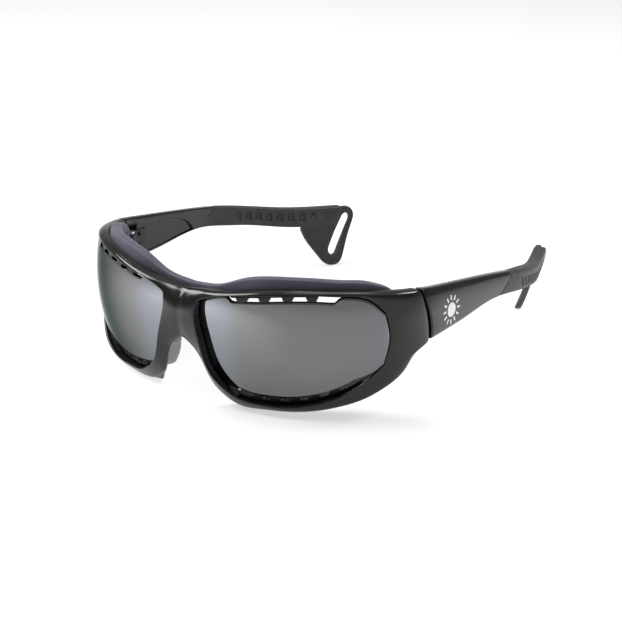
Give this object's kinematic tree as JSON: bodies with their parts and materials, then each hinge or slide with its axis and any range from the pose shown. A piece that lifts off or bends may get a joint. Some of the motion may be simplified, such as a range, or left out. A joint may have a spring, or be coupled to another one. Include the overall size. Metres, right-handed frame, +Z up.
{
  "type": "glacier glasses",
  "caption": "Wrapped gloss-black sports frame with mirrored lenses, soft face gasket, vent strips and folding temples with slotted strap tips.",
  "frame": {"origin": "middle of the glasses' box, on the table they stand on: the two lower rims and the two strap flares rest on z = 0", "axes": "+Z up, +X towards the wearer's left, +Y from the front towards the temple tips; the front faces -Y"},
  "size_m": [0.1444, 0.1719, 0.0481],
  "materials": {
    "gloss_black": "polished black moulded nylon",
    "mirror_grey": "silver-grey mirror coating on a dark lens",
    "plum_foam": "soft matte dark violet-grey elastomer",
    "black_rubber": "matte black elastomer",
    "grey_rubber": "textured grey elastomer",
    "black_steel": "black-coated steel",
    "steel": "plain stainless steel"
  },
  "bodies": {
    "front": {"front_frame": "gloss_black", "lens_left": "mirror_grey", "lens_right": "mirror_grey", "face_gasket": "plum_foam", "upper_vent_left": "black_rubber", "upper_vent_right": "black_rubber", "lower_vent_left": "black_rubber", "lower_vent_right": "black_rubber", "nose_pad_left": "grey_rubber", "nose_pad_right": "grey_rubber", "hinge_leaf_front_left": "black_steel", "hinge_leaf_front_right": "black_steel", "hinge_pin_left": "steel", "hinge_pin_right": "steel", "front_screw_upper_left": "steel", "front_screw_upper_right": "steel", "front_screw_lower_left": "steel", "front_screw_lower_right": "steel"},
    "temple_left": {"temple_arm_left": "gloss_black", "temple_tip_left": "black_rubber", "temple_core_left": "steel", "hinge_leaf_temple_left": "black_steel", "temple_screw_upper_left": "steel", "temple_screw_lower_left": "steel"},
    "temple_right": {"temple_arm_right": "gloss_black", "temple_tip_right": "black_rubber", "temple_core_right": "steel", "hinge_leaf_temple_right": "black_steel", "temple_screw_upper_right": "steel", "temple_screw_lower_right": "steel"}
  },
  "joints": [
    {"name": "fold_left", "type": "hinge", "parent": "front", "child": "temple_left", "pos_m": [0.0635, -0.0404, 0.033], "axis": [0, 0, 1], "range_deg": [0, 83]},
    {"name": "fold_right", "type": "hinge", "parent": "front", "child": "temple_right", "pos_m": [-0.0635, -0.0404, 0.033], "axis": [0, 0, -1], "range_deg": [0, 76]}
  ]
}
